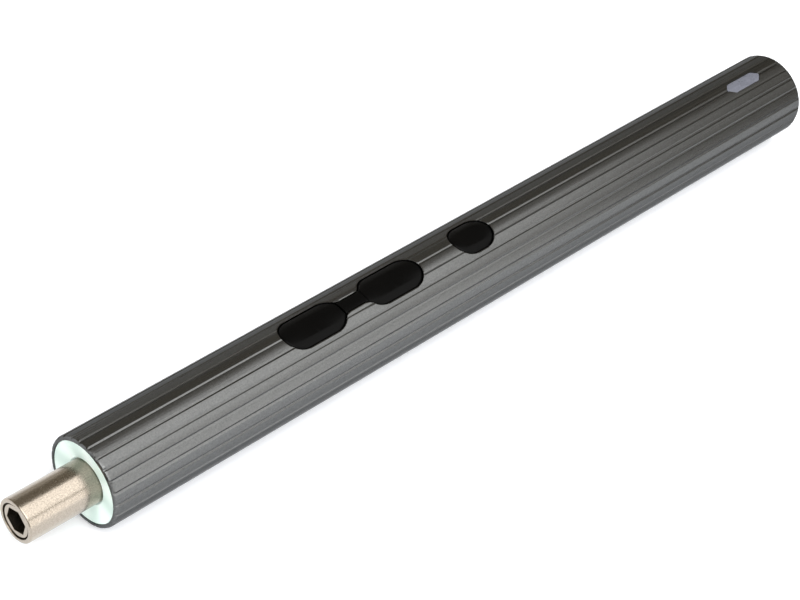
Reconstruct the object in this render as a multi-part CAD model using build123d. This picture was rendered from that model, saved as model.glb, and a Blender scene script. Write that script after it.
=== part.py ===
from build123d import *
from math import acos, asin, cos, pi, radians, sin, sqrt, tan
import os

# Pen-sized cordless screwdriver, lying on a table with its keys upwards.
# Millimetres. The tool's axis runs along X, the chuck points to -X and the keys face +Z.
# Stations (x) are measured from the front rim of the body tube, radii from the tool's axis.
# The finished pieces are moved so that the origin is on the table, below the middle of the tool.

# Body tube. Its length follows from what it holds, further down.
body_d = 16.0
body_wall = 1.1
front_round = 0.5
rear_round = 0.9
round_steps = 2
flute_count = 24
flute_w = 0.64
flute_floor_w = 0.34
flute_depth = 0.3

# Chuck
chuck_d = 7.7
chuck_reach = 12.9
chuck_lip = 0.18
insert_d = 6.0
bit_flats = 4.0
bit_clear = 0.05
bit_depth = 9.0
bit_turn = 22.9
magnet_t = 2.0
insert_wall = 1.0
dark_gap = 0.17
dark_gap_depth = 1.2

# Nose light
diffuser_rim = 0.78
diffuser_set_back = 0.12
diffuser_dish = 0.5
diffuser_len = 3.3
nose_hole_clear = 0.22
nose_board_t = 0.8
nose_led_count = 6
nose_led_l = 1.6
nose_led_w = 0.8
nose_led_h = 0.5
nose_led_clear = 0.1

# Gear train: two planetary stages, each with a sun, three planets and the common ring
gear_wall = 1.7
sun_teeth = 9
planet_teeth = 12
planet_count = 3
stage_count = 2
addendum_share = 0.8
dedendum_share = 1.1
pressure_angle = 25.0
backlash = 0.04
gear_face = 3.0
plate_t = 0.8
gear_end_gap = 0.15
plate_rim_clear = 0.15
pin_d = 1.0
pin_clear = 0.03
front_plate_t = 1.3
hub_d = 8.0
hub_len = 3.8
hub_gap = 0.98

# Output spindle
spindle_d = 4.0
spindle_clear = 0.03
bushing_d = 7.0
seat_clear = 0.02
drive_flat = 0.4

# Motor
motor_len = 18.0
motor_step = 0.1
shaft_d = 1.0
bell_t = 1.7
terminal_lap = 1.5
terminal_clear = 0.18
terminal_w = 1.6
terminal_t = 0.3

# Keys: two lobes joined by a narrow waist, and one oval key behind them
lobe_len = 12.9
waist_len = 5.0
key_spacing = 8.7
mode_len = 8.7
key_w = 6.3
waist_w = 2.4
waist_blend = 2.0
key_gap = 0.2
key_recess = 0.12
key_edge = 0.25
key_dip_r = 20.0
key_dip = 0.2
opening_bevel = 0.2
skirt_over = 0.75
skirt_t = 0.7
skirt_clear = 0.1
hinge_gap = 0.15
hinge_clear = 0.08
hinge_inset = 1.0
press_angle = 2.0
mode_travel = 0.3
stem_w = 2.0
stem_len = 0.2
post_l = 2.0
post_w = 3.0

# Indicator window near the tail
lens_to_tail = 6.7
lens_len = 9.9
lens_w = 2.5
lens_point = 1.5
lens_corner = 0.45
lens_gap = 0.06
lens_recess = 0.05
lens_stem_l = 4.0
lens_stem_w = 1.6

# Tail cap and charging socket
cap_t = 5.0
cap_clear = 0.05
usb_w = 8.94
usb_h = 3.2
usb_wall = 0.3
usb_len = 7.3
usb_set_back = 0.4
usb_gap = 0.1
usb_room = 0.7
tongue_w = 6.7
tongue_t = 0.7
tongue_len = 5.0

# Frames inside the tube
frame_clear = 0.1
frame_wall = 0.65
ledge_w = 1.0
ledge_t = 0.8
cradle_angle = 45.0

# Boards, switches and their parts
motor_gap = 3.1
board_lead = 0.5
board_margin = 3.3
board_t = 0.8
board_clear = 0.1
switch_l = 3.6
switch_w = 3.0
switch_h = 1.5
plunger_l = 1.6
plunger_w = 1.2
plunger_h = 0.75
plunger_in = 0.3
touch_gap = 0.08
chip_side = 4.0
chip_h = 0.9
cap_chip_l = 3.2
cap_chip_w = 1.6
cap_chip_h = 1.2
cap_chip_y = 2.4
led_side = 1.25
led_h = 0.7
led_gap = 0.1
charge_len = 27.9
charge_board_t = 0.8

# Cell
battery_d = 10.0
battery_len = 44.0
battery_gap = 1.6
charge_gap = 1.4
tab_t = 0.2
tab_w = 4.0
tab_below = 1.0

# Flat cables
flex_w = 2.6
flex_t = 0.15
flex_lap = 1.8
flex_drop = 2.0
flex_lift = 0.5

# Worked out from the sizes above: radii
body_r = body_d / 2
bore_r = body_r - body_wall
half_flute = asin(flute_w / 2 / body_r)
axis_height = body_r * cos(half_flute)
chuck_r = chuck_d / 2
insert_r = insert_d / 2
diffuser_r = body_r - diffuser_rim
nose_hole_r = chuck_r + nose_hole_clear
frame_r = bore_r - frame_clear
frame_inner_r = frame_r - frame_wall
gearbox_r = frame_inner_r - cap_clear
motor_r = gearbox_r - motor_step
ring_teeth = sun_teeth + 2 * planet_teeth
module = (gearbox_r - gear_wall) / (ring_teeth / 2 + dedendum_share)
addendum = addendum_share * module
dedendum = dedendum_share * module
ring_pitch_r = module * ring_teeth / 2
gear_centre = module * (sun_teeth + planet_teeth) / 2
plate_r = ring_pitch_r - addendum - plate_rim_clear
spindle_r = spindle_d / 2
shaft_r = shaft_d / 2

# Worked out: stations from the nose to the tail
nose_board_x = diffuser_set_back + diffuser_len
nose_board_end = nose_board_x + nose_board_t
hub_front = nose_board_end + hub_gap
insert_rear = hub_front - 2 * spindle_clear
shaft_front = -chuck_reach + bit_depth + magnet_t + insert_wall
front_plate_front = hub_front + hub_len
ring_front = front_plate_front + front_plate_t
stage_pitch = gear_face + plate_t + 2 * gear_end_gap
motor_front = ring_front + stage_count * stage_pitch
motor_rear = motor_front + motor_len
shaft_end = motor_rear - bell_t - shaft_d
board_front = motor_rear + motor_gap
lobe_front = board_front + board_lead
waist_front = lobe_front + lobe_len
waist_rear = waist_front + waist_len
lobe_rear = waist_rear + lobe_len
mode_front = lobe_rear + key_spacing
mode_rear = mode_front + mode_len
board_end = mode_rear + board_margin
battery_front = board_end + battery_gap
battery_end = battery_front + battery_len
charge_front = battery_end + charge_gap
cap_front = charge_front + charge_len
body_len = cap_front + cap_t
usb_rear = body_len - usb_set_back
usb_front = usb_rear - usb_len
lens_centre = body_len - lens_to_tail - lens_len / 2
lobe_centres = ((lobe_front + waist_front) / 2, (waist_rear + lobe_rear) / 2)
waist_middle = (waist_front + waist_rear) / 2
mode_centre = (mode_front + mode_rear) / 2
overall_len = chuck_reach + body_len
middle = body_len - overall_len / 2

# Worked out: heights over the tool's axis, from the keys down to the board
key_top_r = body_r - key_recess
skirt_half_w = key_w / 2 + skirt_over
skirt_top = sqrt(bore_r**2 - skirt_half_w**2) - skirt_clear
skirt_bottom = skirt_top - skirt_t
stem_bottom = skirt_bottom - stem_len
plunger_top = stem_bottom - touch_gap
switch_top = plunger_top - plunger_h
board_top = switch_top - switch_h
board_bottom = board_top - board_t
board_w = 2 * (sqrt(frame_inner_r**2 - board_top**2) - board_clear)
board_ledges_w = board_w - 2 * ledge_w
terminal_y = (board_ledges_w - terminal_w) / 2 - terminal_clear
charge_half_t = charge_board_t / 2
charge_board_w = 2 * frame_inner_r
led_top = charge_half_t + led_h

# Worked out: how the keys move
hinge_r = skirt_t / 2
hinge_z = skirt_bottom + hinge_r
hinge_x = (waist_front - hinge_gap, waist_rear + hinge_gap)
press_arm = hinge_x[0] - lobe_centres[0]
lobe_travel = press_arm * radians(press_angle)
plunger_travel = max(mode_travel, lobe_travel)


def place(shape):
    """Moves a finished piece from the stations to the origin on the table."""
    return Pos(-middle, 0, axis_height) * shape


def turned(*points):
    """A solid of revolution about the tool's axis, from (x, radius) corners."""
    return revolve(make_face(Polyline(*points, close=True)), Axis.X)


def rod(x0, x1, r):
    return turned((x0, 0), (x1, 0), (x1, r), (x0, r))


def ring(x0, x1, r_out, r_in):
    return turned((x0, r_in), (x1, r_in), (x1, r_out), (x0, r_out))


def block(x0, x1, width, z0, z1, y=0.0):
    return Pos((x0 + x1) / 2, y, (z0 + z1) / 2) * Box(x1 - x0, width, z1 - z0)


def upright(plan, z0, z1):
    """A prism that stands on z0 and ends at z1, from a plan drawn in X and Y."""
    return extrude(Pos(0, 0, z0) * plan, z1 - z0)


def around_axis(count, shape, first=0.0):
    """Copies of a shape, evenly spaced round the tool's axis."""
    return [Rot(first + 360 / count * i, 0, 0) * shape for i in range(count)]


def group(shapes):
    """Several separate solids that make up one node."""
    return Compound([solid for shape in shapes for solid in shape.solids()])


# Outlines seen from above


def slot_plan(x0, x1, width, grow=0.0):
    length = x1 - x0 + 2 * grow
    return Pos((x0 + x1) / 2, 0, 0) * SlotOverall(length, width + 2 * grow)


def skirt_plan(x0, x1):
    """The rectangle that a key widens to inside the tube."""
    return Pos((x0 + x1) / 2, 0, 0) * Rectangle(x1 - x0 + 2 * skirt_over, 2 * skirt_half_w)


def waisted_plan(grow=0.0):
    """The two key lobes and the waist between them, as one outline."""
    half = waist_w / 2 + grow
    lobes = slot_plan(lobe_front, waist_front, key_w, grow)
    lobes += slot_plan(waist_rear, lobe_rear, key_w, grow)
    plan = lobes + Pos(waist_middle, 0, 0) * Rectangle(lobe_len, 2 * half)
    corners = plan.vertices().filter_by(lambda v: abs(abs(v.Y) - half) < 1e-6)
    return fillet(corners, waist_blend - grow)


def lens_plan(grow=0.0):
    """A long hexagon with softened corners."""
    end = lens_len / 2 + grow
    side = lens_w / 2 + grow
    shoulder = end - lens_point
    points = [(-end, 0), (-shoulder, side), (shoulder, side), (end, 0), (shoulder, -side), (-shoulder, -side)]
    plan = make_face(Polyline(*points, close=True))
    plan = fillet(plan.vertices(), lens_corner + grow)
    return Pos(lens_centre, 0, 0) * plan


# Body tube


def rounded_rim(x, size, outward):
    """Points of the tube's outer rim at station x, rounded in a few straight steps."""
    points = []
    for i in range(round_steps + 1):
        angle = pi / 2 * i / round_steps
        points.append((x - outward * size * (1 - sin(angle)), body_r - size * (1 - cos(angle))))
    return points


def flute_tool():
    """One lengthwise groove with sloping walls."""
    top = body_r + flute_depth
    floor = body_r - flute_depth
    slope = (flute_w - flute_floor_w) / 2 / flute_depth
    half_top = flute_floor_w / 2 + slope * (top - floor)
    half_floor = flute_floor_w / 2
    section = Polyline((-half_floor, floor), (half_floor, floor), (half_top, top), (-half_top, top), close=True)
    face = Plane.YZ * make_face(section)
    return Pos(-flute_w, 0, 0) * extrude(face, body_len + 2 * flute_w)


def on_surface(edge, radius):
    """True when the whole edge lies on a cylinder about the tool's axis, on its upper side."""
    spots = [edge @ t for t in (0, 0.3, 0.7, 1)]
    return all(p.Z > 0 and abs(sqrt(p.Y**2 + p.Z**2) - radius) < 1e-3 for p in spots)


def body_tube():
    seat_r = diffuser_r + cap_clear
    tube = turned(
        (0, seat_r),
        *reversed(rounded_rim(0, front_round, -1)),
        *rounded_rim(body_len, rear_round, 1),
        (body_len, bore_r),
        (nose_board_end, bore_r),
        (nose_board_end, seat_r),
    )
    for plan in (waisted_plan(key_gap), slot_plan(mode_front, mode_rear, key_w, key_gap)):
        tube -= upright(plan, 0, body_d)
    rims = [e for e in tube.edges() if on_surface(e, body_r)]
    rims = [e for e in rims if lobe_front - key_w < e.center().X < mode_rear + key_w]
    tube = chamfer(rims, opening_bevel)
    tube -= upright(lens_plan(lens_gap), 0, body_d)
    for cut in around_axis(flute_count, flute_tool()):
        tube -= cut
    return tube


def indicator_lens():
    head = upright(lens_plan(), 0, body_d) & ring(0, body_len, body_r - lens_recess, bore_r)
    half = lens_stem_l / 2
    return head + block(lens_centre - half, lens_centre + half, lens_stem_w, led_top + led_gap, bore_r)


# Nose light


def led_boxes(height, side_clear):
    """The spaces that the LEDs fill in front of their board."""
    middle_r = (nose_hole_r + diffuser_r) / 2
    box = Box(height, nose_led_l + 2 * side_clear, nose_led_w + 2 * side_clear)
    return around_axis(nose_led_count, Pos(nose_board_x - height / 2, 0, middle_r) * box)


def nose_diffuser():
    """The light ring: dished in front, with a pocket behind for each LED."""
    x0 = diffuser_set_back
    body = turned(
        (x0 + diffuser_dish, nose_hole_r),
        (x0, diffuser_r),
        (nose_board_x, diffuser_r),
        (nose_board_x, nose_hole_r),
    )
    return body - led_boxes(nose_led_h + nose_led_clear, nose_led_clear)


def nose_light_board():
    """A hexagonal board with the chuck's hole in it."""
    plan = RegularPolygon(diffuser_r - board_clear, nose_led_count) - Circle(nose_hole_r)
    board = extrude(Plane.YZ * plan, nose_board_t)
    return Pos(nose_board_x, 0, 0) * Rot(180 / nose_led_count, 0, 0) * board


def nose_leds():
    return group(led_boxes(nose_led_h, 0.0))


# Gears


def involute(angle):
    return tan(angle) - angle


def tooth_half_angle(teeth, r, thickness):
    """Half the angle that a tooth fills at radius r, from its thickness at the pitch circle."""
    pitch_r = module * teeth / 2
    base_r = pitch_r * cos(radians(pressure_angle))
    at_pitch = involute(radians(pressure_angle))
    here = involute(acos(min(1.0, base_r / r)))
    return thickness / 2 / pitch_r + at_pitch - here


def toothed_plan(teeth, r_root, r_tip, thickness, first=0.0):
    """The outline of a gear as a closed polygon, with one flat flank each side of a tooth."""
    root = tooth_half_angle(teeth, r_root, thickness)
    tip = tooth_half_angle(teeth, r_tip, thickness)
    points = []
    for i in range(teeth):
        centre = first + 2 * pi * i / teeth
        for r, turn in ((r_root, -root), (r_tip, -tip), (r_tip, tip), (r_root, root)):
            angle = centre + turn
            points.append((-r * sin(angle), r * cos(angle)))
    return make_face(Polyline(*points, close=True))


def gear(teeth, x0, x1, bore, first=0.0):
    pitch_r = module * teeth / 2
    thickness = pi * module / 2 - backlash
    plan = toothed_plan(teeth, pitch_r - dedendum, pitch_r + addendum, thickness, first)
    if bore:
        plan -= Circle(bore)
    return Pos(x0, 0, 0) * extrude(Plane.YZ * plan, x1 - x0)


def stage_front(stage):
    """Front face of a stage's carrier plate. Stage 1 is next to the motor."""
    return motor_front - stage * stage_pitch + gear_end_gap


def planet_front(stage):
    return stage_front(stage) + plate_t + gear_end_gap


def planet(stage, index):
    """A planet, turned so that a gap between two teeth faces the sun."""
    wheel = gear(planet_teeth, 0, gear_face, pin_d / 2 + pin_clear, pi + pi / planet_teeth)
    wheel = Pos(planet_front(stage), 0, gear_centre) * wheel
    return Rot(360 / planet_count * index, 0, 0) * wheel


def planet_pins(stage):
    """The three pins behind a carrier plate that the planets turn on."""
    pin = Pos(0, 0, gear_centre) * rod(stage_front(stage) + plate_t, planet_front(stage) + gear_face, pin_d / 2)
    return around_axis(planet_count, pin)


def carrier(stage):
    """A round plate with its pins behind and the next stage's sun in front."""
    x0 = stage_front(stage)
    return rod(x0, x0 + plate_t, plate_r) + gear(sun_teeth, planet_front(stage + 1), x0, 0) + planet_pins(stage)


def ring_gear():
    space = pi * module / 2 + backlash
    first = pi * (planet_teeth + 1) / ring_teeth
    hollow = toothed_plan(ring_teeth, ring_pitch_r - addendum, ring_pitch_r + dedendum, space, first)
    plan = Circle(gearbox_r) - hollow
    return Pos(ring_front, 0, 0) * extrude(Plane.YZ * plan, motor_front - ring_front)


def gearbox_front_plate():
    bore = bushing_d / 2 + seat_clear
    return turned(
        (hub_front, bore),
        (hub_front, hub_d / 2),
        (front_plate_front, hub_d / 2),
        (front_plate_front, gearbox_r),
        (ring_front, gearbox_r),
        (ring_front, bore),
    )


def spindle_bushing():
    return ring(hub_front, ring_front, bushing_d / 2, spindle_r + spindle_clear)


# Spindle and chuck


def output_carrier():
    """The last carrier plate, its pins and the output shaft in one piece, with a flat for the chuck."""
    x0 = stage_front(stage_count)
    body = turned(
        (shaft_front, 0),
        (shaft_front, spindle_r),
        (x0, spindle_r),
        (x0, plate_r),
        (x0 + plate_t, plate_r),
        (x0 + plate_t, 0),
    )
    flat = block(shaft_front, insert_rear, spindle_d, spindle_r - drive_flat, spindle_r)
    return body + planet_pins(stage_count) - flat


def hex_insert():
    """The socket for the bit in front, and a bore with a flat for the shaft behind."""
    front = -chuck_reach + chuck_lip
    narrow_r = insert_r - dark_gap
    body = turned(
        (front, 0),
        (front, narrow_r),
        (front + dark_gap_depth, narrow_r),
        (front + dark_gap_depth, insert_r),
        (insert_rear, insert_r),
        (insert_rear, 0),
    )
    hexagon = RegularPolygon((bit_flats + bit_clear) / 2, 6, major_radius=False)
    depth = bit_depth + magnet_t - chuck_lip
    socket = Pos(front, 0, 0) * Rot(-bit_turn, 0, 0) * extrude(Plane.YZ * hexagon, depth)
    bore = rod(shaft_front, insert_rear, spindle_r + seat_clear)
    bore -= block(shaft_front, insert_rear, 2 * spindle_d, spindle_r - drive_flat + seat_clear, spindle_d)
    return body - socket - bore


def bit_magnet():
    floor = -chuck_reach + bit_depth
    return rod(floor, floor + magnet_t, bit_flats / 2 - seat_clear)


def chuck_sleeve():
    front = -chuck_reach
    bore = insert_r + seat_clear
    return turned(
        (front, bore),
        (front, chuck_r - chuck_lip),
        (front + chuck_lip, chuck_r),
        (nose_board_end, chuck_r),
        (nose_board_end, bore),
    )


# Motor, a closed unit with its shaft


def motor_can():
    bore = rod(motor_front, shaft_end + spindle_clear, shaft_r + spindle_clear)
    return rod(motor_front, motor_rear - bell_t, motor_r) - bore


def motor_shaft():
    """The steel shaft, from the pinion into the motor."""
    return rod(planet_front(1), shaft_end, shaft_r)


def motor_pinion():
    return gear(sun_teeth, planet_front(1), motor_front - gear_end_gap, shaft_r + seat_clear)


def terminal_blades(clear=0.0):
    """Two flat blades that run from the end bell to the underside of the main board."""
    z0 = board_bottom - terminal_t - clear
    x1 = board_front + terminal_lap
    width = terminal_w + 2 * clear
    return [block(motor_rear - bell_t, x1, width, z0, board_bottom + clear, side * terminal_y) for side in (-1, 1)]


def motor_end_bell():
    return rod(motor_rear - bell_t, motor_rear, motor_r) - terminal_blades(seat_clear)


def motor_terminals():
    return group(terminal_blades())


# Frames that hold the works inside the tube


def trough(x0, x1, inner_r, top=0.0):
    """The lower part of a thin tube, up to a height over the axis."""
    return ring(x0, x1, frame_r, inner_r) & block(x0, x1, body_d, -body_d, top)


def ledges(x0, x1, inner_w, top):
    """Two ledges along the trough's walls, with a gap between them, for a board or the cell."""
    body = block(x0, x1, body_d, top - ledge_t, top) - block(x0, x1, inner_w, top - ledge_t, top)
    return body & rod(x0, x1, frame_r)


def motor_frame():
    """Trough under gearbox and motor, with a wall under the gearbox hub and ledges for the board."""
    body = trough(hub_front, board_front, frame_inner_r)
    body += trough(hub_front, front_plate_front - gear_end_gap, hub_d / 2 + cap_clear)
    body += trough(board_front, board_end, frame_inner_r, board_bottom)
    return body + ledges(board_front, board_end, board_ledges_w, board_bottom)


def battery_tray():
    """Trough under the cell, with ledges whose upper edges hold it on the axis."""
    cradle_r = battery_d / 2 + cap_clear
    across = 2 * cradle_r * sin(radians(cradle_angle))
    top = -cradle_r * cos(radians(cradle_angle))
    body = trough(board_end, charge_front, frame_inner_r)
    return body + ledges(battery_front, battery_end, across, top)


def charge_frame():
    """Trough under the charging board, between the cell and the tail cap."""
    top = -charge_half_t
    body = trough(charge_front, cap_front, frame_inner_r, top)
    return body + ledges(charge_front, cap_front, usb_w + 2 * usb_room, top)


# Boards, switches and cell


def main_board():
    return block(board_front, board_end, board_w, board_bottom, board_top)


def switch_boxes(length, width, z0, z1):
    """A box at each of the three switches."""
    spots = (*lobe_centres, mode_centre)
    return [block(x - length / 2, x + length / 2, width, z0, z1) for x in spots]


def switch_bodies():
    cases = Part() + switch_boxes(switch_l, switch_w, board_top, switch_top)
    floor = switch_top - plunger_in - plunger_travel
    pockets = switch_boxes(plunger_l + 2 * cap_clear, plunger_w + 2 * cap_clear, floor, switch_top)
    return group([cases - pockets])


def switch_plunger(index):
    return switch_boxes(plunger_l, plunger_w, switch_top - plunger_in + cap_clear, plunger_top)[index]


def chip(x, length, width, face, height, y=0.0):
    """A flat chip whose middle is at station x, standing up from a board's face or hanging below it."""
    z0 = min(face, face + height)
    return block(x - length / 2, x + length / 2, width, z0, z0 + abs(height), y)


def main_board_parts():
    """The controller, the motor driver and two larger capacitors, all under the board."""
    chips = [chip(x, chip_side, chip_side, board_bottom, -chip_h) for x in (waist_middle, mode_centre)]
    for side in (-1, 1):
        y = side * cap_chip_y
        chips.append(chip(lobe_centres[0], cap_chip_l, cap_chip_w, board_bottom, -cap_chip_h, y))
    return group(chips)


def charge_board():
    board = block(charge_front, cap_front, charge_board_w, -charge_half_t, charge_half_t)
    return board - block(usb_front - usb_gap, cap_front, usb_w + 2 * usb_gap, -charge_half_t, charge_half_t)


def charge_board_parts():
    """The charger chip on top and the protection chip below."""
    x = charge_front + flex_lap + chip_side
    return group([chip(x, chip_side, chip_side, side * charge_half_t, side * chip_h) for side in (-1, 1)])


def indicator_led():
    return chip(lens_centre, led_side, led_side, charge_half_t, led_h)


def battery_cell():
    return rod(battery_front, battery_end, battery_d / 2)


def battery_tabs():
    """Nickel strips: one at each end of the cell, bent towards its board."""
    front = block(battery_front - tab_t, battery_front, tab_w, -tab_below, board_top)
    front += block(board_end, battery_front, tab_w, board_top - tab_t, board_top)
    rear = block(battery_end, battery_end + tab_t, tab_w, -tab_below, charge_half_t)
    rear += block(battery_end, charge_front, tab_w, charge_half_t - tab_t, charge_half_t)
    return group([front, rear])


# Tail


def usb_plan(grow):
    return Plane.YZ * SlotOverall(usb_w + 2 * grow, usb_h + 2 * grow)


def tail_cap():
    hole = Pos(cap_front, 0, 0) * extrude(usb_plan(usb_gap), cap_t)
    return rod(cap_front, body_len, bore_r - cap_clear) - hole


def usb_socket_shell():
    body = Pos(usb_front, 0, 0) * extrude(usb_plan(0.0), usb_len)
    return body - Pos(usb_front + usb_wall, 0, 0) * extrude(usb_plan(-usb_wall), usb_len)


def usb_contact_tongue():
    x0 = usb_front + usb_wall
    return block(x0, x0 + tongue_len, tongue_w, -tongue_t / 2, tongue_t / 2)


# Keys


def hinge_rod(x, r):
    """The round edge that a lobe turns on, across the tool."""
    length = 2 * (skirt_half_w - hinge_inset)
    return Pos(x, 0, hinge_z) * Rot(90, 0, 0) * Cylinder(r, length)


def key_block(plan, skirt, stem_x):
    """A key: its cap in the opening, its skirt inside the tube and the stem over its switch."""
    cap = upright(plan, skirt_bottom, body_d) & rod(0, body_len, key_top_r)
    brim = [e for e in cap.edges() if on_surface(e, key_top_r)]
    cap = chamfer(brim, key_edge)
    dip_z = key_top_r - key_dip + key_dip_r
    cap -= Pos(stem_x, 0, dip_z) * Rot(90, 0, 0) * Cylinder(key_dip_r, 2 * key_w)
    stem = block(stem_x - stem_w / 2, stem_x + stem_w / 2, stem_w, stem_bottom, skirt_bottom)
    return cap + upright(skirt, skirt_bottom, skirt_top) + stem


def lobe_region(index):
    """Everything on a lobe's side of the waist: index 0 is the front lobe, 1 the rear one."""
    far = lobe_front - lobe_len if index == 0 else lobe_rear + lobe_len
    return Pos((hinge_x[index] + far) / 2, 0, 0) * Rectangle(abs(far - hinge_x[index]), 2 * body_d)


def lobe_key(index):
    ends = ((lobe_front, waist_front), (waist_rear, lobe_rear))[index]
    region = lobe_region(index)
    skirt = skirt_plan(*ends) & region
    body = key_block(waisted_plan() & region, skirt, lobe_centres[index])
    return body + hinge_rod(hinge_x[index], hinge_r)


def mode_key():
    plan = slot_plan(mode_front, mode_rear, key_w)
    return key_block(plan, skirt_plan(mode_front, mode_rear), mode_centre)


def key_waist():
    """The waist between the lobes, with a round seat for each hinge, on a post that stands on the board."""
    region = Pos(waist_middle, 0, 0) * Rectangle(waist_len, 2 * body_d)
    body = upright(waisted_plan() & region, skirt_bottom, body_d) & rod(0, body_len, key_top_r)
    body += block(waist_front, waist_rear, 2 * (skirt_half_w - hinge_inset), skirt_bottom, skirt_top)
    half = post_l / 2
    body += block(waist_middle - half, waist_middle + half, post_w, board_top, skirt_bottom)
    return body - [hinge_rod(x, hinge_r + hinge_clear) for x in hinge_x]


# Flat cables


def nose_flex():
    """The flat cable from the nose light, over gearbox and motor, down to the main board."""
    top = sqrt(bore_r**2 - flex_w**2 / 4) - frame_clear
    drop = motor_rear + flex_drop
    body = block(nose_board_end, drop, flex_w, top - flex_t, top)
    body += block(nose_board_end, nose_board_end + flex_t, flex_w, top - flex_lap, top)
    body += block(drop - flex_t, drop, flex_w, board_top, top)
    return body + block(drop - flex_t, board_front + flex_lap, flex_w, board_top, board_top + flex_t)


def power_flex():
    """The flat cable from the charging board, over the cell, down to the main board."""
    top = battery_d / 2 + flex_lift
    x0 = board_end + battery_gap / 3
    x1 = charge_front - charge_gap / 3
    body = block(x0, x1, flex_w, top - flex_t, top)
    body += block(x0, x0 + flex_t, flex_w, board_top, top)
    body += block(x1 - flex_t, x1, flex_w, charge_half_t, top)
    body += block(board_end - flex_lap, x0 + flex_t, flex_w, board_top, board_top + flex_t)
    return body + block(x1 - flex_t, charge_front + flex_lap, flex_w, charge_half_t, charge_half_t + flex_t)


# Every node with the function that makes it

nodes = {
    "body_tube": body_tube,
    "indicator_lens": indicator_lens,
    "nose_diffuser": nose_diffuser,
    "nose_light_board": nose_light_board,
    "nose_leds": nose_leds,
    "gearbox_ring_gear": ring_gear,
    "gearbox_front_plate": gearbox_front_plate,
    "spindle_bushing": spindle_bushing,
    "output_carrier": output_carrier,
    "hex_insert": hex_insert,
    "bit_magnet": bit_magnet,
    "chuck_sleeve": chuck_sleeve,
    "carrier_1": lambda: carrier(1),
    "motor_can": motor_can,
    "motor_end_bell": motor_end_bell,
    "motor_terminals": motor_terminals,
    "motor_shaft": motor_shaft,
    "motor_pinion": motor_pinion,
    "motor_frame": motor_frame,
    "battery_tray": battery_tray,
    "charge_frame": charge_frame,
    "main_board": main_board,
    "main_board_parts": main_board_parts,
    "switch_bodies": switch_bodies,
    "switch_plunger_forward": lambda: switch_plunger(0),
    "switch_plunger_reverse": lambda: switch_plunger(1),
    "switch_plunger_mode": lambda: switch_plunger(2),
    "key_forward": lambda: lobe_key(0),
    "key_reverse": lambda: lobe_key(1),
    "key_mode": mode_key,
    "key_waist": key_waist,
    "nose_flex": nose_flex,
    "power_flex": power_flex,
    "battery_cell": battery_cell,
    "battery_tabs": battery_tabs,
    "charge_board": charge_board,
    "charge_board_parts": charge_board_parts,
    "indicator_led": indicator_led,
    "tail_cap": tail_cap,
    "usb_socket_shell": usb_socket_shell,
    "usb_contact_tongue": usb_contact_tongue,
}

for stage in range(1, stage_count + 1):
    for index in range(planet_count):
        name = f"planet_{stage}{'abc'[index]}"
        nodes[name] = lambda stage=stage, index=index: planet(stage, index)

os.makedirs("parts", exist_ok=True)
for name, make in nodes.items():
    export_step(place(make()), f"parts/{name}.step")
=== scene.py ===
from math import atan2, cos, hypot, pi, radians, sin, tan

import bmesh
import bpy
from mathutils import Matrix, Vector


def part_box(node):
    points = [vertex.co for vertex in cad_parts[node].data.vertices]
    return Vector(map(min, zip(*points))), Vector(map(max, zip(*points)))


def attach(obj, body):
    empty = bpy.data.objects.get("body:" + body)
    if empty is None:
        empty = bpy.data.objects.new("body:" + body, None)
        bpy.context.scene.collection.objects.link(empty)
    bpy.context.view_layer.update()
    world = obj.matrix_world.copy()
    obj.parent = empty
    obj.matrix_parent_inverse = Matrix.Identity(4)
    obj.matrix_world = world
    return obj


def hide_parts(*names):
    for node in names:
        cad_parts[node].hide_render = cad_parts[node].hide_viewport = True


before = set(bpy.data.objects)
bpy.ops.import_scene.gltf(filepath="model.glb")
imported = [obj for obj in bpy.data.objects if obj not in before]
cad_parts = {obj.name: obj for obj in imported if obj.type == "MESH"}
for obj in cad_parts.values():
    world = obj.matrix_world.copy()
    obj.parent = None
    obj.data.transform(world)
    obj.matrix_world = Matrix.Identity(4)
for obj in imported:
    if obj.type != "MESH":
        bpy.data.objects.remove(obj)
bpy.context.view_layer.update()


# Body tube
# A drawn aluminium tube with 24 lengthwise flutes, milled open for the keys and the window, then
# bead blasted and anodised gunmetal grey. Every milled edge is broken by a fraction of a
# millimetre, and those broken edges are the thin light lines along the flutes.

mm = 0.001
tube_low, tube_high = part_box("body_tube")
axis_z = (tube_low[2] + tube_high[2]) / 2
tube_r = 8.0 * mm
flute_count = 24
flute_depth = 0.17 * mm
cad_flute_depth = 0.3 * mm
floor_share = 0.35
rim_len = 0.6 * mm
key_bevel = 0.2 * mm
key_bevel_lift = 0.1 * mm
bevel_slack = 0.05 * mm
radius_slack = 0.02 * mm
long_edge = 2 * mm
lip_break = 0.13 * mm
lip_angle = radians(20)
edge_break = 0.07 * mm
sharp_angle = radians(38)


def merged_copy(node, weld=0.0005 * mm, flat_within=radians(0.4)):
    """A copy of a CAD node's mesh with its loose triangles joined into whole faces."""
    bm = bmesh.new()
    bm.from_mesh(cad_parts[node].data)
    bmesh.ops.remove_doubles(bm, verts=bm.verts, dist=weld)
    bmesh.ops.dissolve_limit(bm, angle_limit=flat_within, verts=bm.verts, edges=bm.edges)
    return bm


def is_sharp(edge, sharp_from):
    return len(edge.link_faces) == 2 and edge.calc_face_angle(0) > sharp_from


def sharp_edges(bm, sharp_from):
    return [edge for edge in bm.edges if is_sharp(edge, sharp_from)]


def break_edges(bm, edges, size, segments):
    """Rounds edges by a small radius, as a deburring wheel or a mould does."""
    bmesh.ops.bevel(bm, geom=edges, offset=size, offset_type="OFFSET", affect="EDGES",
                    segments=segments, profile=0.5, clamp_overlap=True, material=-1)


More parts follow.
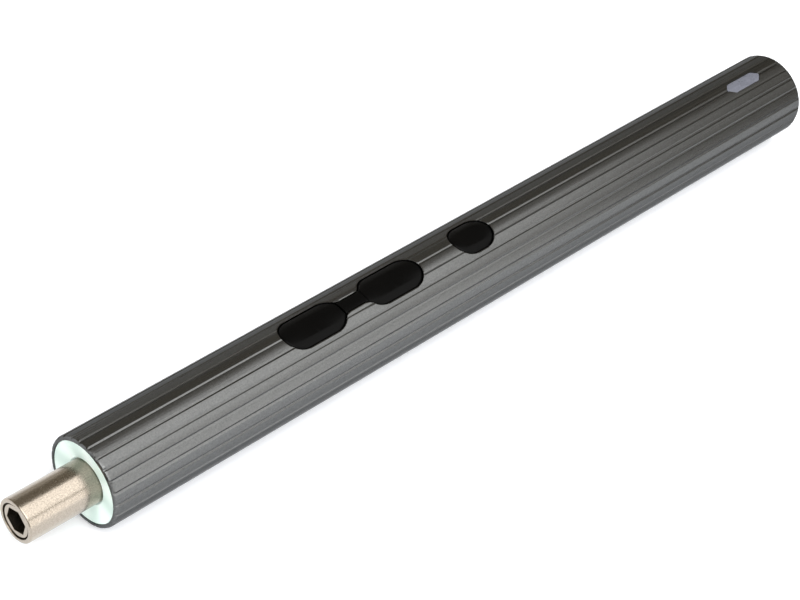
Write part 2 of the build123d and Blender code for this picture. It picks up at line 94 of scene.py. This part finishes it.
def softened_copy(name, node, edge, segments=2, sharp_from=sharp_angle):
    """A copy of a CAD node's mesh with its sharp edges broken by a small radius."""
    bm = merged_copy(node)
    break_edges(bm, sharp_edges(bm, sharp_from), edge, segments)
    return finished(name, bm, sharp_from)


def finished(name, bm, sharp_from=sharp_angle):
    """Turns a bmesh into an object at the origin, smooth but for its sharp edges."""
    for face in bm.faces:
        face.smooth = True
    for edge in bm.edges:
        edge.smooth = not is_sharp(edge, sharp_from)
    mesh = bpy.data.meshes.new(name)
    bm.to_mesh(mesh)
    bm.free()
    piece = bpy.data.objects.new(name, mesh)
    bpy.context.scene.collection.objects.link(piece)
    weighted = piece.modifiers.new("flat faces stay flat", "WEIGHTED_NORMAL")
    weighted.keep_sharp = True
    return piece


def linear(hex_code):
    """An sRGB hex colour as the linear colour that shaders want."""
    channels = [int(hex_code[i:i + 2], 16) / 255 for i in (1, 3, 5)]
    curve = [c / 12.92 if c <= 0.04045 else ((c + 0.055) / 1.055) ** 2.4 for c in channels]
    return (*curve, 1.0)


def add(tree, kind, settings=None, links=None):
    """Adds one shader node, sets its properties and sockets, and links its inputs."""
    node = tree.nodes.new(kind)
    for key, value in (settings or {}).items():
        if isinstance(key, str) and hasattr(node, key):
            setattr(node, key, value)
        else:
            node.inputs[key].default_value = value
    for key, (source, output) in (links or {}).items():
        tree.links.new(source.outputs[output], node.inputs[key])
    return node


def material(name):
    """An empty node material, and the Object coordinates that its patterns are drawn with."""
    made = bpy.data.materials.new(name)
    made.use_nodes = True
    tree = made.node_tree
    tree.nodes.clear()
    return made, tree, add(tree, "ShaderNodeTexCoord")


def dress(piece, made):
    """Gives a piece one material in all its slots."""
    if not piece.material_slots:
        piece.data.materials.append(made)
    for slot in piece.material_slots:
        slot.material = made


# Bead-blasted, dyed anodising: the blasting leaves a fine grain that takes the mirror off the
# metal, drawn 0.3 mm coarse so that it shows. Faint draw lines along the tube, drawn 0.25 mm apart
# for the same reason, leave it silky.
anodised, tree, place = material("bead_blasted_anodised_aluminium")
grain = add(tree, "ShaderNodeTexNoise", {"Scale": 1 / (0.3 * mm), "Detail": 3.0, "Roughness": 0.7},
            {"Vector": (place, "Object")})
stretch = add(tree, "ShaderNodeMapping", {"Scale": (0.02, 1.0, 1.0)}, {"Vector": (place, "Object")})
draw_lines = add(tree, "ShaderNodeTexNoise", {"Scale": 1 / (0.25 * mm), "Detail": 2.0},
                 {"Vector": (stretch, "Vector")})
tone = add(tree, "ShaderNodeMixRGB", {"Color1": linear("#474848"), "Color2": linear("#737474")},
           {"Fac": (grain, "Fac")})
shine = add(tree, "ShaderNodeMapRange", {"To Min": 0.24, "To Max": 0.34},
            {"Value": (draw_lines, "Fac")})
bump = add(tree, "ShaderNodeBump", {"Strength": 0.3, "Distance": 0.006 * mm},
           {"Height": (grain, "Fac")})
surface = add(tree, "ShaderNodeBsdfPrincipled",
              {"Metallic": 1.0, "Specular Tint": linear("#A8A8A8")},
              {"Base Color": (tone, "Color"), "Roughness": (shine, "Result"),
               "Normal": (bump, "Normal")})
add(tree, "ShaderNodeOutputMaterial", None, {"Surface": (surface, "BSDF")})


def radius_of(vert):
    """A vertex's distance from the tool's axis."""
    return hypot(vert.co.y, vert.co.z - axis_z)


# Each flute becomes a shallow V with a narrow floor, and keeps its full depth at the two rims only.
bm = merged_copy("body_tube")
front, rear = tube_low[0] + rim_len, tube_high[0] - rim_len
for station, facing in ((front, 1), (rear, -1)):
    bmesh.ops.bisect_plane(bm, geom=bm.verts[:] + bm.edges[:] + bm.faces[:],
                           plane_co=(station, 0, 0), plane_no=(facing, 0, 0))
pitch = 2 * pi / flute_count
floor_r = tube_r - flute_depth
for vert in bm.verts:
    on_floor = abs(radius_of(vert) - (tube_r - cad_flute_depth)) < radius_slack
    if on_floor and front - rim_len / 2 < vert.co.x < rear + rim_len / 2:
        angle = atan2(vert.co.y, vert.co.z - axis_z)
        middle = round(angle / pitch) * pitch
        angle = middle + (angle - middle) * floor_share
        vert.co.y = floor_r * sin(angle)
        vert.co.z = axis_z + floor_r * cos(angle)

# The bevel round the key openings is milled flatter, so it doesn't flash at their far ends.
keys_front, keys_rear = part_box("key_forward")[0][0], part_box("key_mode")[1][0]
for vert in bm.verts:
    under_bevel = abs(radius_of(vert) - (tube_r - key_bevel)) < bevel_slack
    if under_bevel and vert.co.z > axis_z and keys_front < vert.co.x < keys_rear:
        vert.co.z += key_bevel_lift

# The long lips of the flutes are broken widest, and every other sharp edge finely.
lips = [edge for edge in sharp_edges(bm, lip_angle)
        if all(abs(radius_of(vert) - tube_r) < radius_slack for vert in edge.verts)
        and abs(edge.verts[0].co.x - edge.verts[1].co.x) > long_edge]
break_edges(bm, lips, lip_break, segments=3)
break_edges(bm, sharp_edges(bm, sharp_angle), edge_break, segments=2)
tube = finished("fluted_tube", bm)
dress(tube, anodised)
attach(tube, "housing")
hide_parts("body_tube")


# Indicator window
# A small six-sided light pipe of smoky polycarbonate, pushed into the tube from inside. Its top
# follows the tube's round, and its edges are softened by the mould.

# Tinted polycarbonate: smooth and glossy, with a faint cloudiness of the light pipe under it.
smoky, tree, place = material("smoky_polycarbonate")
cloud = add(tree, "ShaderNodeTexNoise", {"Scale": 1 / (1.5 * mm), "Detail": 2.0},
            {"Vector": (place, "Object")})
tone = add(tree, "ShaderNodeMixRGB", {"Color1": linear("#5F626D"), "Color2": linear("#6E717D")},
           {"Fac": (cloud, "Fac")})
shine = add(tree, "ShaderNodeMapRange", {"To Min": 0.22, "To Max": 0.34}, {"Value": (cloud, "Fac")})
surface = add(tree, "ShaderNodeBsdfPrincipled", {"IOR": 1.58},
              {"Base Color": (tone, "Color"), "Roughness": (shine, "Result")})
add(tree, "ShaderNodeOutputMaterial", None, {"Surface": (surface, "BSDF")})

window_edge = 0.08 * mm
window = softened_copy("indicator_window", "indicator_lens", window_edge, segments=3)
dress(window, smoky)
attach(window, "housing")
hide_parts("indicator_lens")


# Nose light
# A turned ring of milky acrylic fills the nose and spreads the light of six LEDs on a round board
# behind it. It is dished in front, so the light also falls on the chuck.


def turned_piece(name, profile, segments=160, sharp_from=radians(30), weld=0.0001 * mm):
    """Spins a closed outline of (station, radius) corners about the tool's axis."""
    bm = bmesh.new()
    corners = [bm.verts.new((x, 0.0, axis_z + r)) for x, r in profile]
    edges = [bm.edges.new((corners[i - 1], corners[i])) for i in range(len(corners))]
    bmesh.ops.spin(bm, geom=corners + edges, cent=(0, 0, axis_z), axis=(1, 0, 0), angle=2 * pi,
                   steps=segments, use_merge=True)
    bmesh.ops.remove_doubles(bm, verts=bm.verts, dist=weld)
    bmesh.ops.recalc_face_normals(bm, faces=bm.faces)
    return finished(name, bm, sharp_from)


def eased(corners, radii, steps=5):
    """Rounds the corners of an outline, each by its own radius."""
    outline = []
    for i, (corner, radius) in enumerate(zip(corners, radii)):
        here = Vector(corner)
        before = Vector(corners[i - 1]) - here
        after = Vector(corners[(i + 1) % len(corners)]) - here
        reach = radius / tan(before.angle(after) / 2)
        start = here + before.normalized() * reach
        end = here + after.normalized() * reach
        for k in range(steps + 1 if radius else 1):
            t = k / steps
            outline.append((1 - t) ** 2 * start + 2 * t * (1 - t) * here + t * t * end)
    return [(p.x, p.y) for p in outline]


ring_low, ring_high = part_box("nose_diffuser")
sleeve_low, sleeve_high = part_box("chuck_sleeve")
ring_r = (ring_high[1] - ring_low[1]) / 2
sleeve_r = (sleeve_high[1] - sleeve_low[1]) / 2
sleeve_gap = 0.22 * mm
hole_r = sleeve_r + sleeve_gap
dish = 0.5 * mm
hole_ease = 0.1 * mm
rim_ease = 0.15 * mm
led_count = 6

# Opal acrylic with light behind it: softly glossy, faintly green-white, a little brighter in front
# of each LED.
milky, tree, place = material("milky_acrylic_lit")
cloud = add(tree, "ShaderNodeTexNoise", {"Scale": 1 / (2.5 * mm), "Detail": 3.0},
            {"Vector": (place, "Object")})
tone = add(tree, "ShaderNodeMixRGB", {"Color1": linear("#BCCBC5"), "Color2": linear("#CBD8D3")},
           {"Fac": (cloud, "Fac")})
centred = add(tree, "ShaderNodeMapping", {"Location": (0, 0, -axis_z)},
              {"Vector": (place, "Object")})
parts = add(tree, "ShaderNodeSeparateXYZ", None, {"Vector": (centred, "Vector")})
around = add(tree, "ShaderNodeMath", {"operation": "ARCTAN2"}, {0: (parts, "Y"), 1: (parts, "Z")})
often = add(tree, "ShaderNodeMath", {"operation": "MULTIPLY", 1: float(led_count)},
            {0: (around, "Value")})
wave = add(tree, "ShaderNodeMath", {"operation": "COSINE"}, {0: (often, "Value")})
near_led = add(tree, "ShaderNodeMapRange", {"From Min": -1.0, "From Max": 1.0},
               {"Value": (wave, "Value")})
glow = add(tree, "ShaderNodeMixRGB", {"Color1": linear("#8FB3A9"), "Color2": linear("#F2FFFA")},
           {"Fac": (near_led, "Result")})
surface = add(tree, "ShaderNodeBsdfPrincipled",
              {"Roughness": 0.3, "IOR": 1.49, "Emission Strength": 0.4},
              {"Base Color": (tone, "Color"), "Emission Color": (glow, "Color")})
add(tree, "ShaderNodeOutputMaterial", None, {"Surface": (surface, "BSDF")})

outline = eased([(ring_low[0] + dish, hole_r), (ring_low[0], ring_r),
                 (ring_high[0], ring_r), (ring_high[0], hole_r)],
                [hole_ease, rim_ease, 0, 0])
light_ring = turned_piece("light_ring", outline, segments=192)
dress(light_ring, milky)
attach(light_ring, "housing")
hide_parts("nose_diffuser")

# White solder mask: even and slightly glossy, with the faint orange peel of printed ink.
white_mask, tree, place = material("white_solder_mask")
peel = add(tree, "ShaderNodeTexNoise", {"Scale": 1 / (0.4 * mm), "Detail": 2.0},
           {"Vector": (place, "Object")})
tone = add(tree, "ShaderNodeMixRGB", {"Color1": linear("#E4E4DF"), "Color2": linear("#EFEFEB")},
           {"Fac": (peel, "Fac")})
bump = add(tree, "ShaderNodeBump", {"Strength": 0.2, "Distance": 0.01 * mm},
           {"Height": (peel, "Fac")})
surface = add(tree, "ShaderNodeBsdfPrincipled", {"Roughness": 0.35},
              {"Base Color": (tone, "Color"), "Normal": (bump, "Normal")})
add(tree, "ShaderNodeOutputMaterial", None, {"Surface": (surface, "BSDF")})
dress(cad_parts["nose_light_board"], white_mask)

# LED phosphor: a yellow silicone with fine grains of phosphor in it.
phosphor, tree, place = material("phosphor_silicone")
grains = add(tree, "ShaderNodeTexVoronoi", {"Scale": 1 / (0.06 * mm)},
             {"Vector": (place, "Object")})
tone = add(tree, "ShaderNodeMixRGB", {"Color1": linear("#E9DB7C"), "Color2": linear("#F3ECB4")},
           {"Fac": (grains, "Color")})
surface = add(tree, "ShaderNodeBsdfPrincipled", {"Roughness": 0.5, "IOR": 1.41},
              {"Base Color": (tone, "Color")})
add(tree, "ShaderNodeOutputMaterial", None, {"Surface": (surface, "BSDF")})
for node in ("nose_leds", "indicator_led"):
    dress(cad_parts[node], phosphor)


# Chuck
# A sleeve and a hex socket, both turned from steel and satin nickel plated. The socket is pressed
# into the sleeve and stands a little back. The sleeve's bore is wider at the mouth, which leaves a
# dark ring-shaped gap between them.

# A wave texture at scale 1 repeats after this length, so this over a spacing is its scale.
wave_length = 2 * pi / 20

# Nickel plate: warm, bright and slightly hazy. Turning marks run round the axis, drawn 0.5 mm apart
# so that they show, and haze patches of about 0.8 mm break the edges of the reflections. The
# plating's fine specks are drawn 0.22 mm coarse for the same reason.
nickel, tree, place = material("satin_nickel_plate")
marks = add(tree, "ShaderNodeTexWave",
            {"bands_direction": "X", "Scale": wave_length / (0.5 * mm), "Distortion": 0.4},
            {"Vector": (place, "Object")})
haze = add(tree, "ShaderNodeTexNoise", {"Scale": 1 / (0.8 * mm), "Detail": 4.0, "Roughness": 0.65},
           {"Vector": (place, "Object")})
specks = add(tree, "ShaderNodeTexNoise",
             {"Scale": 1 / (0.22 * mm), "Detail": 2.0, "Roughness": 0.6},
             {"Vector": (place, "Object")})
tone = add(tree, "ShaderNodeMixRGB", {"Color1": linear("#7E766B"), "Color2": linear("#BBB1A4")},
           {"Fac": (specks, "Fac")})
shine = add(tree, "ShaderNodeMapRange", {"To Min": 0.16, "To Max": 0.32}, {"Value": (haze, "Fac")})
turned = add(tree, "ShaderNodeBump", {"Strength": 0.15, "Distance": 0.002 * mm},
             {"Height": (marks, "Fac")})
bump = add(tree, "ShaderNodeBump", {"Strength": 0.5, "Distance": 0.02 * mm},
           {"Height": (specks, "Fac"), "Normal": (turned, "Normal")})
surface = add(tree, "ShaderNodeBsdfPrincipled", {"Metallic": 1.0},
              {"Base Color": (tone, "Color"), "Roughness": (shine, "Result"),
               "Normal": (bump, "Normal")})
add(tree, "ShaderNodeOutputMaterial", None, {"Surface": (surface, "BSDF")})

mouth_r = 3.12 * mm
mouth_depth = 1.2 * mm
mouth_ease = 0.1 * mm
nose_ease = 0.35 * mm
seat_r = 3.02 * mm
seat_front = sleeve_low[0] + mouth_depth
outline = eased([(sleeve_low[0], mouth_r), (sleeve_low[0], sleeve_r),
                 (sleeve_high[0], sleeve_r), (sleeve_high[0], seat_r),
                 (seat_front, seat_r), (seat_front, mouth_r)],
                [mouth_ease, nose_ease, 0, 0, 0, 0])
sleeve = turned_piece("nickel_sleeve", outline)
dress(sleeve, nickel)
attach(sleeve, "spindle")
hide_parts("chuck_sleeve")

socket_edge = 0.05 * mm
socket = softened_copy("hex_socket", "hex_insert", socket_edge, sharp_from=radians(28))
dress(socket, nickel)
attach(socket, "spindle")
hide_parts("hex_insert")


# Gearbox and spindle
# Two planetary stages in a die-cast ring gear, with a front plate and a bushing for the output
# shaft. The carriers are turned steel with pressed pins and the planets are sintered.

# Die-cast zinc: dull grey with cloudy flow marks of a few millimetres and a fine cast grain.
zinc, tree, place = material("die_cast_zinc")
flow = add(tree, "ShaderNodeTexNoise", {"Scale": 1 / (3 * mm), "Detail": 4.0, "Distortion": 0.5},
           {"Vector": (place, "Object")})
tone = add(tree, "ShaderNodeMixRGB", {"Color1": linear("#8B8D8E"), "Color2": linear("#A5A7A8")},
           {"Fac": (flow, "Fac")})
shine = add(tree, "ShaderNodeMapRange", {"To Min": 0.4, "To Max": 0.6}, {"Value": (flow, "Fac")})
surface = add(tree, "ShaderNodeBsdfPrincipled", {"Metallic": 1.0},
              {"Base Color": (tone, "Color"), "Roughness": (shine, "Result")})
add(tree, "ShaderNodeOutputMaterial", None, {"Surface": (surface, "BSDF")})
for node in ("gearbox_ring_gear", "gearbox_front_plate"):
    dress(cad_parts[node], zinc)

# Turned steel: fine tool marks round the axis, drawn 0.4 mm apart so that they show, and a film of
# oil that evens the shine.
steel, tree, place = material("turned_steel")
marks = add(tree, "ShaderNodeTexWave",
            {"bands_direction": "X", "Scale": wave_length / (0.4 * mm), "Distortion": 0.3},
            {"Vector": (place, "Object")})
tone = add(tree, "ShaderNodeMixRGB", {"Color1": linear("#9C9C9B"), "Color2": linear("#B4B4B3")},
           {"Fac": (marks, "Fac")})
shine = add(tree, "ShaderNodeMapRange", {"To Min": 0.22, "To Max": 0.34}, {"Value": (marks, "Fac")})
surface = add(tree, "ShaderNodeBsdfPrincipled", {"Metallic": 1.0},
              {"Base Color": (tone, "Color"), "Roughness": (shine, "Result")})
add(tree, "ShaderNodeOutputMaterial", None, {"Surface": (surface, "BSDF")})
for node in ("output_carrier", "carrier_1", "motor_shaft"):
    dress(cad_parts[node], steel)

# Sintered steel: pressed powder with dark pores about 0.05 mm across.
sintered, tree, place = material("sintered_steel")
pores = add(tree, "ShaderNodeTexVoronoi", {"Scale": 1 / (0.05 * mm)}, {"Vector": (place, "Object")})
tone = add(tree, "ShaderNodeMixRGB", {"Color1": linear("#5E5B57"), "Color2": linear("#86837E")},
           {"Fac": (pores, "Distance")})
bump = add(tree, "ShaderNodeBump", {"Strength": 0.3, "Distance": 0.01 * mm},
           {"Height": (pores, "Distance")})
surface = add(tree, "ShaderNodeBsdfPrincipled", {"Metallic": 1.0, "Roughness": 0.45},
              {"Base Color": (tone, "Color"), "Normal": (bump, "Normal")})
add(tree, "ShaderNodeOutputMaterial", None, {"Surface": (surface, "BSDF")})
for stage in "12":
    for planet in "abc":
        dress(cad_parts[f"planet_{stage}{planet}"], sintered)

# Oil-soaked sintered bronze: brown-gold, porous and half dull.
bronze, tree, place = material("sintered_bronze")
pores = add(tree, "ShaderNodeTexVoronoi", {"Scale": 1 / (0.08 * mm)}, {"Vector": (place, "Object")})
tone = add(tree, "ShaderNodeMixRGB", {"Color1": linear("#6E4E28"), "Color2": linear("#A37B45")},
           {"Fac": (pores, "Distance")})
surface = add(tree, "ShaderNodeBsdfPrincipled", {"Metallic": 1.0, "Roughness": 0.4},
              {"Base Color": (tone, "Color")})
add(tree, "ShaderNodeOutputMaterial", None, {"Surface": (surface, "BSDF")})
dress(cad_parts["spindle_bushing"], bronze)


# Motor
# A small closed brushed motor: a drawn can, a moulded end bell with two blades, and a shaft with a
# pressed brass pinion.

# Bright nickel-plated strip keeps faint rolling lines about 0.15 mm apart along its length.
plated, tree, place = material("bright_nickel_plated_strip")
stretch = add(tree, "ShaderNodeMapping", {"Scale": (0.05, 1.0, 1.0)}, {"Vector": (place, "Object")})
lines = add(tree, "ShaderNodeTexNoise", {"Scale": 1 / (0.15 * mm), "Detail": 2.0},
            {"Vector": (stretch, "Vector")})
tone = add(tree, "ShaderNodeMixRGB", {"Color1": linear("#CCCAC4"), "Color2": linear("#DDDBD6")},
           {"Fac": (lines, "Fac")})
shine = add(tree, "ShaderNodeMapRange", {"To Min": 0.14, "To Max": 0.26}, {"Value": (lines, "Fac")})
surface = add(tree, "ShaderNodeBsdfPrincipled", {"Metallic": 1.0},
              {"Base Color": (tone, "Color"), "Roughness": (shine, "Result")})
add(tree, "ShaderNodeOutputMaterial", None, {"Surface": (surface, "BSDF")})
for node in ("motor_can", "bit_magnet", "battery_tabs", "usb_socket_shell"):
    dress(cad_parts[node], plated)

# Rolled and cut brass: yellow, with rolling lines 0.1 mm apart and slightly tarnished.
brass, tree, place = material("rolled_brass")
stretch = add(tree, "ShaderNodeMapping", {"Scale": (0.05, 1.0, 1.0)}, {"Vector": (place, "Object")})
lines = add(tree, "ShaderNodeTexNoise", {"Scale": 1 / (0.1 * mm), "Detail": 2.0},
            {"Vector": (stretch, "Vector")})
tone = add(tree, "ShaderNodeMixRGB", {"Color1": linear("#B59A55"), "Color2": linear("#D3BA77")},
           {"Fac": (lines, "Fac")})
surface = add(tree, "ShaderNodeBsdfPrincipled", {"Metallic": 1.0, "Roughness": 0.3},
              {"Base Color": (tone, "Color")})
add(tree, "ShaderNodeOutputMaterial", None, {"Surface": (surface, "BSDF")})
for node in ("motor_pinion", "motor_terminals"):
    dress(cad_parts[node], brass)

# Glass-filled nylon: black with a brown cast, dull, and faintly streaked by the fibres along the
# flow.
nylon, tree, place = material("glass_filled_black_nylon")
stretch = add(tree, "ShaderNodeMapping", {"Scale": (0.2, 1.0, 1.0)}, {"Vector": (place, "Object")})
fibres = add(tree, "ShaderNodeTexNoise", {"Scale": 1 / (0.3 * mm), "Detail": 3.0},
             {"Vector": (stretch, "Vector")})
tone = add(tree, "ShaderNodeMixRGB", {"Color1": linear("#1B1A19"), "Color2": linear("#2B2A28")},
           {"Fac": (fibres, "Fac")})
bump = add(tree, "ShaderNodeBump", {"Strength": 0.2, "Distance": 0.01 * mm},
           {"Height": (fibres, "Fac")})
surface = add(tree, "ShaderNodeBsdfPrincipled", {"Roughness": 0.55, "IOR": 1.53},
              {"Base Color": (tone, "Color"), "Normal": (bump, "Normal")})
add(tree, "ShaderNodeOutputMaterial", None, {"Surface": (surface, "BSDF")})
for node in ("motor_end_bell", "motor_frame", "battery_tray", "charge_frame"):
    dress(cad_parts[node], nylon)


# Keys
# One waisted key with two lobes and one oval key, moulded in black ABS with a fine spark-eroded
# texture. They stand a hair below the tube's lands, with a narrow dark gap all round.

# Spark-eroded ABS: near black, with a grain of about 0.1 mm that turns the gloss into a soft sheen.
black_abs, tree, place = material("spark_eroded_black_abs")
grain = add(tree, "ShaderNodeTexNoise", {"Scale": 1 / (0.1 * mm), "Detail": 2.0},
            {"Vector": (place, "Object")})
tone = add(tree, "ShaderNodeMixRGB", {"Color1": linear("#030303"), "Color2": linear("#080808")},
           {"Fac": (grain, "Fac")})
shine = add(tree, "ShaderNodeMapRange", {"To Min": 0.26, "To Max": 0.36}, {"Value": (grain, "Fac")})
bump = add(tree, "ShaderNodeBump", {"Strength": 0.25, "Distance": 0.003 * mm},
           {"Height": (grain, "Fac")})
surface = add(tree, "ShaderNodeBsdfPrincipled", {"IOR": 1.54, "Specular IOR Level": 0.045},
              {"Base Color": (tone, "Color"), "Roughness": (shine, "Result"),
               "Normal": (bump, "Normal")})
add(tree, "ShaderNodeOutputMaterial", None, {"Surface": (surface, "BSDF")})

key_edge = 0.09 * mm
for name, node, body in (("front_lobe", "key_forward", "key_forward"),
                         ("rear_lobe", "key_reverse", "key_reverse"),
                         ("oval_key", "key_mode", "key_mode"),
                         ("key_bridge", "key_waist", "housing")):
    key = softened_copy(name, node, key_edge, segments=3, sharp_from=radians(30))
    dress(key, black_abs)
    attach(key, body)
    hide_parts(node)


# Boards and switches
# Two green circuit boards with their chips, three small switches under the keys, and the flat
# cables that join them.

# Green solder mask: glossy lacquer over copper, darker where there is no track below it.
green_mask, tree, place = material("green_solder_mask")
tracks = add(tree, "ShaderNodeTexVoronoi", {"Scale": 1 / (1.2 * mm), "distance": "MANHATTAN"},
             {"Vector": (place, "Object")})
tone = add(tree, "ShaderNodeMixRGB", {"Color1": linear("#0E4A2C"), "Color2": linear("#17663F")},
           {"Fac": (tracks, "Distance")})
surface = add(tree, "ShaderNodeBsdfPrincipled", {"Roughness": 0.28, "IOR": 1.5},
              {"Base Color": (tone, "Color")})
add(tree, "ShaderNodeOutputMaterial", None, {"Surface": (surface, "BSDF")})
for node in ("main_board", "charge_board"):
    dress(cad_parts[node], green_mask)

# Moulded epoxy: charcoal and dull, with the fine grain of its filler.
epoxy, tree, place = material("moulded_epoxy")
filler = add(tree, "ShaderNodeTexNoise", {"Scale": 1 / (0.08 * mm), "Detail": 2.0},
             {"Vector": (place, "Object")})
tone = add(tree, "ShaderNodeMixRGB", {"Color1": linear("#1C1C1D"), "Color2": linear("#2C2C2D")},
           {"Fac": (filler, "Fac")})
shine = add(tree, "ShaderNodeMapRange", {"To Min": 0.45, "To Max": 0.6}, {"Value": (filler, "Fac")})
surface = add(tree, "ShaderNodeBsdfPrincipled", {"IOR": 1.55},
              {"Base Color": (tone, "Color"), "Roughness": (shine, "Result")})
add(tree, "ShaderNodeOutputMaterial", None, {"Surface": (surface, "BSDF")})
for node in ("main_board_parts", "charge_board_parts", "switch_bodies", "usb_contact_tongue"):
    dress(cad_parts[node], epoxy)

# Acetal: ivory and waxy, a little mottled.
acetal, tree, place = material("ivory_acetal")
mottle = add(tree, "ShaderNodeTexNoise", {"Scale": 1 / (0.5 * mm), "Detail": 2.0},
             {"Vector": (place, "Object")})
tone = add(tree, "ShaderNodeMixRGB", {"Color1": linear("#E2DECF"), "Color2": linear("#EEEBE0")},
           {"Fac": (mottle, "Fac")})
surface = add(tree, "ShaderNodeBsdfPrincipled", {"Roughness": 0.4, "IOR": 1.48},
              {"Base Color": (tone, "Color")})
add(tree, "ShaderNodeOutputMaterial", None, {"Surface": (surface, "BSDF")})
for key in ("forward", "reverse", "mode"):
    dress(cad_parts[f"switch_plunger_{key}"], acetal)

# Polyimide film: amber gloss, with copper tracks 0.4 mm apart showing through along its length.
polyimide, tree, place = material("polyimide_film")
tracks = add(tree, "ShaderNodeTexWave", {"bands_direction": "Y", "Scale": wave_length / (0.4 * mm)},
             {"Vector": (place, "Object")})
tone = add(tree, "ShaderNodeMixRGB", {"Color1": linear("#A5610F"), "Color2": linear("#C98A2C")},
           {"Fac": (tracks, "Fac")})
surface = add(tree, "ShaderNodeBsdfPrincipled", {"Roughness": 0.25, "IOR": 1.7},
              {"Base Color": (tone, "Color")})
add(tree, "ShaderNodeOutputMaterial", None, {"Surface": (surface, "BSDF")})
for node in ("nose_flex", "power_flex"):
    dress(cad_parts[node], polyimide)


# Cell
# One small round lithium cell. It is wrapped in a sleeve of blue film that was shrunk on with heat,
# and it lies in the tray behind the motor.

# Shrink sleeve: blue PVC, glossy, with long soft ripples where it shrank.
sleeve_film, tree, place = material("shrunk_blue_sleeve")
stretch = add(tree, "ShaderNodeMapping", {"Scale": (0.15, 1.0, 1.0)}, {"Vector": (place, "Object")})
ripple = add(tree, "ShaderNodeTexNoise", {"Scale": 1 / (2 * mm), "Detail": 2.0},
             {"Vector": (stretch, "Vector")})
tone = add(tree, "ShaderNodeMixRGB", {"Color1": linear("#24517F"), "Color2": linear("#2E6297")},
           {"Fac": (ripple, "Fac")})
bump = add(tree, "ShaderNodeBump", {"Strength": 0.3, "Distance": 0.05 * mm},
           {"Height": (ripple, "Fac")})
surface = add(tree, "ShaderNodeBsdfPrincipled", {"Roughness": 0.22, "IOR": 1.53},
              {"Base Color": (tone, "Color"), "Normal": (bump, "Normal")})
add(tree, "ShaderNodeOutputMaterial", None, {"Surface": (surface, "BSDF")})
dress(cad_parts["battery_cell"], sleeve_film)


# Tail
# A moulded black cap closes the tube. The stamped shell of the charging socket and its contact
# tongue sit in a slot in the middle.

cap_edge = 0.15 * mm
cap = softened_copy("tail_plug", "tail_cap", cap_edge, segments=3, sharp_from=radians(30))
dress(cap, black_abs)
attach(cap, "housing")
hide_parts("tail_cap")


# Table, light and camera
# A plain pale light table. A softbox behind the camera brightens the nose, two panels overhead
# draw the light band along the tube up to its dark border, a side panel fills the lower flank,
# and the dim far side leaves the top dark between its light flute edges.

# Opal acrylic, sanded dull and faintly lit from below: white all over with hardly any shadow.
opal, tree, place = material("opal_acrylic_light_table")
fleck = add(tree, "ShaderNodeTexNoise", {"Scale": 1 / (3 * mm), "Detail": 2.0},
            {"Vector": (place, "Object")})
tone = add(tree, "ShaderNodeMixRGB", {"Color1": linear("#EEF1F6"), "Color2": linear("#F2F5FA")},
           {"Fac": (fleck, "Fac")})
surface = add(tree, "ShaderNodeBsdfPrincipled",
              {"Roughness": 0.9, "Emission Color": linear("#FBFCFF"), "Emission Strength": 0.2},
              {"Base Color": (tone, "Color")})
add(tree, "ShaderNodeOutputMaterial", None, {"Surface": (surface, "BSDF")})

# The table's top lies a hair below the tube, so that the two never share a plane.
table_half = 2.5
hair = 0.02 * mm
bm = bmesh.new()
bmesh.ops.create_grid(bm, x_segments=1, y_segments=1, size=table_half)
bmesh.ops.translate(bm, verts=bm.verts, vec=(0, 0, -hair))
mesh = bpy.data.meshes.new("table")
bm.to_mesh(mesh)
bm.free()
table = bpy.data.objects.new("table", mesh)
bpy.context.scene.collection.objects.link(table)
dress(table, opal)


def soft_light(name, spot, target, size, radiance):
    """A rectangular area light with the same radiance all over, facing a point."""
    lamp = bpy.data.lights.new(name, "AREA")
    lamp.shape = "RECTANGLE"
    lamp.size, lamp.size_y = size
    lamp.energy = radiance * pi * size[0] * size[1]
    holder = bpy.data.objects.new(name, lamp)
    holder.location = spot
    holder.rotation_euler = (Vector(target) - Vector(spot)).to_track_quat("-Z", "Y").to_euler()
    bpy.context.scene.collection.objects.link(holder)


soft_light("softbox_behind_camera", (-0.9, -0.5, 1.2), (0, 0, 0), (1.8, 1.3), 2.4)
soft_light("ceiling_panel", (0.035, -0.245, 0.45), (0.035, -0.245, 0), (0.77, 0.67), 2.4)
soft_light("ceiling_panel_end", (0.53, -0.45, 0.45), (0.53, -0.45, 0), (0.22, 0.26), 1.4)
soft_light("side_panel", (0.16, -0.58, 0.18), (0.16, 0, 0.18), (0.72, 0.36), 2.2)
soft_light("far_backdrop", (0.3, 0.8, 0.2), (0.3, 0, 0.2), (1.6, 0.4), 0.4)

# Warm, dim light from the room tints what mirrors no panel, so the tube's dark side turns brownish.
world = bpy.data.worlds.new("studio_air")
world.use_nodes = True
air = world.node_tree.nodes["Background"]
air.inputs["Color"].default_value = linear("#FFF3DC")
air.inputs["Strength"].default_value = 0.28
bpy.context.scene.world = world
bpy.context.scene.view_settings.view_transform = "Standard"

# The camera's place, turn and focal length were fitted to the outlines of the tube and of its rims.
lens = bpy.data.cameras.new("photo_camera")
lens.sensor_width = 36.0
lens.lens = 101.5
lens.clip_start = 0.01
camera = bpy.data.objects.new("photo_camera", lens)
camera.location = (-234.81 * mm, -158.09 * mm, 278.53 * mm)
camera.rotation_euler = (radians(44.437), radians(-10.744), radians(-44.033))
bpy.context.scene.collection.objects.link(camera)
bpy.context.scene.camera = camera
